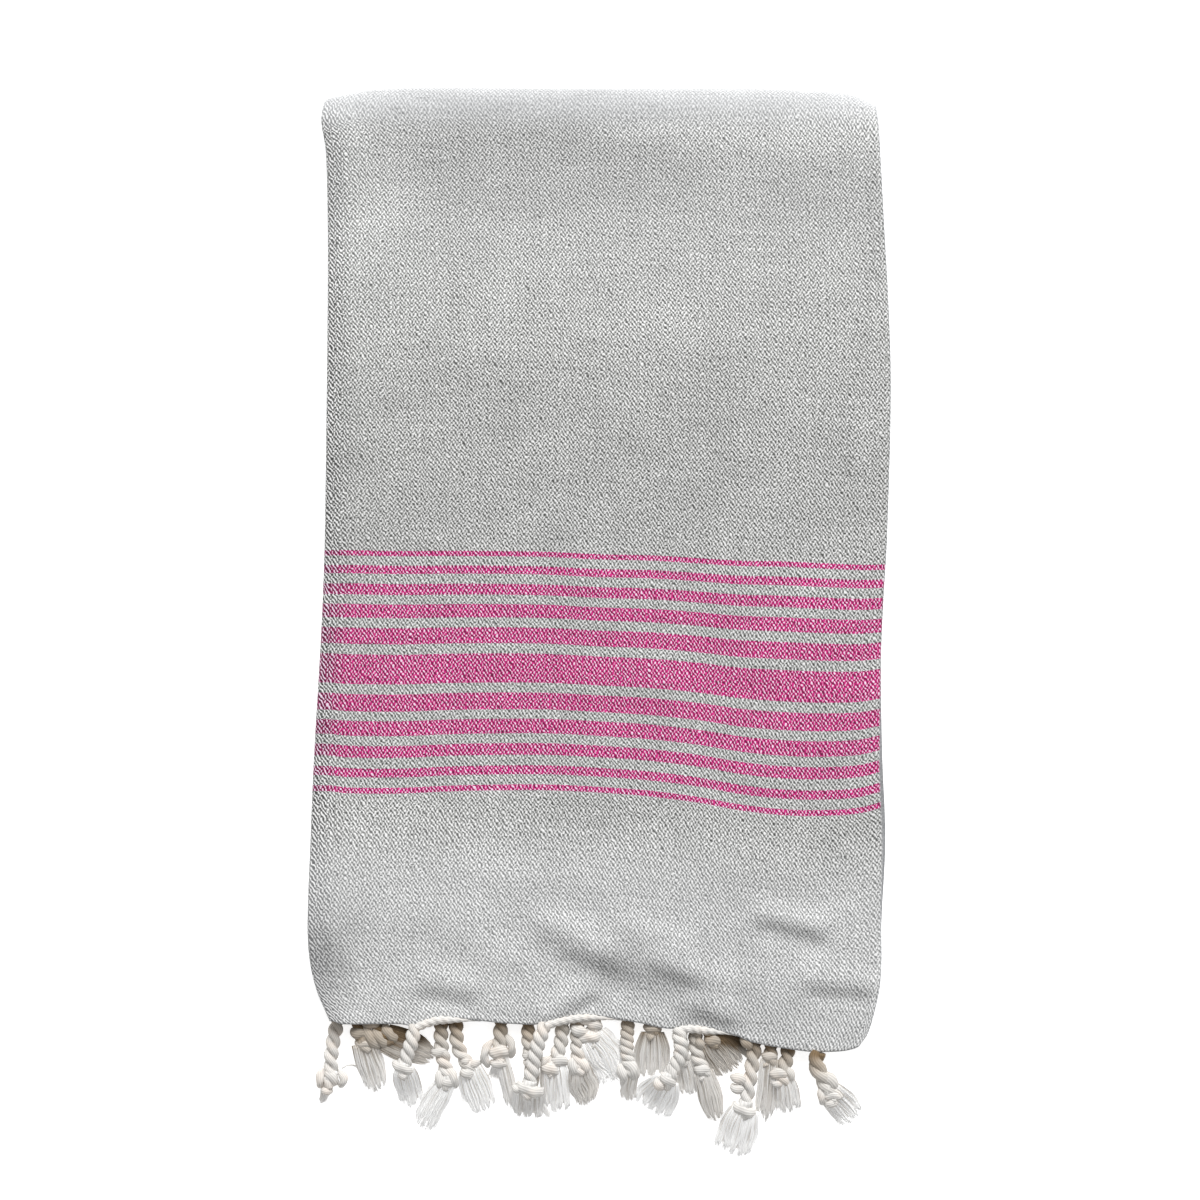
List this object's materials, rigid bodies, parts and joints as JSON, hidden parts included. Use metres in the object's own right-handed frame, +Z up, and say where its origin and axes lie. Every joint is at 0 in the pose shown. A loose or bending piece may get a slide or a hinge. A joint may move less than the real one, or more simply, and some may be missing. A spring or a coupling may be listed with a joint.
{
  "type": "folded hammam towel",
  "caption": "Flat-woven hammam towel folded into a long rectangle, with a band of woven stripes near its hem and knotted tassels along it.",
  "frame": {"origin": "middle of the underside of the folded towel's box", "axes": "+X to the towel's right, +Y from the tassels to the top fold, +Z up from the surface it lies on"},
  "size_m": [0.5172, 0.9485, 0.0263],
  "materials": {
    "cloth": "grey and natural cotton in a small dotted weave, with a band of pink weft stripes",
    "tassel_yarn": "undyed cotton yarn, twisted, knotted and left loose at its ends"
  },
  "bodies": {
    "root": {"tassel_01": "tassel_yarn", "tassel_02": "tassel_yarn", "tassel_03": "tassel_yarn", "tassel_04": "tassel_yarn", "tassel_05": "tassel_yarn", "tassel_06": "tassel_yarn", "tassel_07": "tassel_yarn", "tassel_08": "tassel_yarn", "tassel_09": "tassel_yarn", "tassel_10": "tassel_yarn", "tassel_11": "tassel_yarn", "tassel_12": "tassel_yarn", "tassel_13": "tassel_yarn", "tassel_14": "tassel_yarn", "tassel_15": "tassel_yarn", "tassel_16": "tassel_yarn", "tassel_17": "tassel_yarn", "tassel_18": "tassel_yarn", "tassel_19": "tassel_yarn", "tassel_20": "tassel_yarn", "tassel_21": "tassel_yarn", "tassel_22": "tassel_yarn", "towel_cloth": "cloth"}
  },
  "joints": []
}
